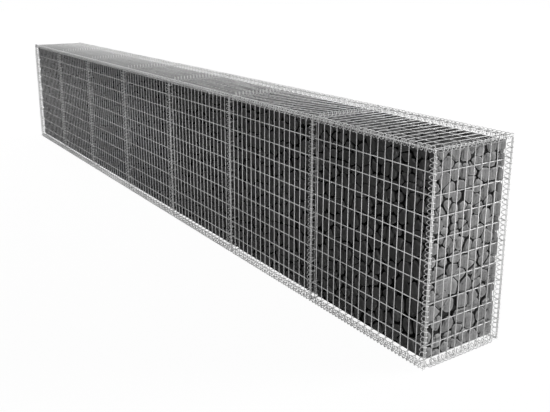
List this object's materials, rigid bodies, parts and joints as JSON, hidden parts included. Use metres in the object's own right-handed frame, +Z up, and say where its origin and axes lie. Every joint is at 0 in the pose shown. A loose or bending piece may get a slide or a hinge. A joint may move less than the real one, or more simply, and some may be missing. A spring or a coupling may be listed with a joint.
{
  "type": "gabion wall",
  "caption": "Straight free-standing gabion wall: welded mesh baskets in a row, laced with spiral binders and filled with broken stone.",
  "frame": {"origin": "middle of the footprint, on the level that the wall rests on", "axes": "+X along the wall, +Y from front to back, +Z up"},
  "size_m": [6.0138, 0.5382, 1.0461],
  "materials": {
    "mesh_back": "galvanised, dull",
    "mesh_base": "galvanised, dull",
    "mesh_dividers": "galvanised, dull",
    "mesh_ends": "galvanised, dull",
    "mesh_front": "galvanised, dull",
    "mesh_lids": "galvanised, dull",
    "spirals": "galvanised, dull",
    "stone_fill": "broken basalt, rough"
  },
  "bodies": {
    "root": {"back_panel_1": "mesh_back", "back_panel_2": "mesh_back", "back_panel_3": "mesh_back", "back_panel_4": "mesh_back", "back_panel_5": "mesh_back", "back_panel_6": "mesh_back", "back_panel_7": "mesh_back", "base_panel_1": "mesh_base", "base_panel_2": "mesh_base", "base_panel_3": "mesh_base", "base_panel_4": "mesh_base", "base_panel_5": "mesh_base", "base_panel_6": "mesh_base", "base_panel_7": "mesh_base", "divider_1": "mesh_dividers", "divider_2": "mesh_dividers", "divider_3": "mesh_dividers", "divider_4": "mesh_dividers", "divider_5": "mesh_dividers", "divider_6": "mesh_dividers", "edge_spirals": "spirals", "end_panel_left": "mesh_ends", "end_panel_right": "mesh_ends", "front_panel_1": "mesh_front", "front_panel_2": "mesh_front", "front_panel_3": "mesh_front", "front_panel_4": "mesh_front", "front_panel_5": "mesh_front", "front_panel_6": "mesh_front", "front_panel_7": "mesh_front", "lid_1": "mesh_lids", "lid_2": "mesh_lids", "lid_3": "mesh_lids", "lid_4": "mesh_lids", "lid_5": "mesh_lids", "lid_6": "mesh_lids", "lid_7": "mesh_lids", "seam_spirals": "spirals", "stone_fill_1": "stone_fill", "stone_fill_2": "stone_fill", "stone_fill_3": "stone_fill", "stone_fill_4": "stone_fill", "stone_fill_5": "stone_fill", "stone_fill_6": "stone_fill", "stone_fill_7": "stone_fill"}
  },
  "joints": []
}
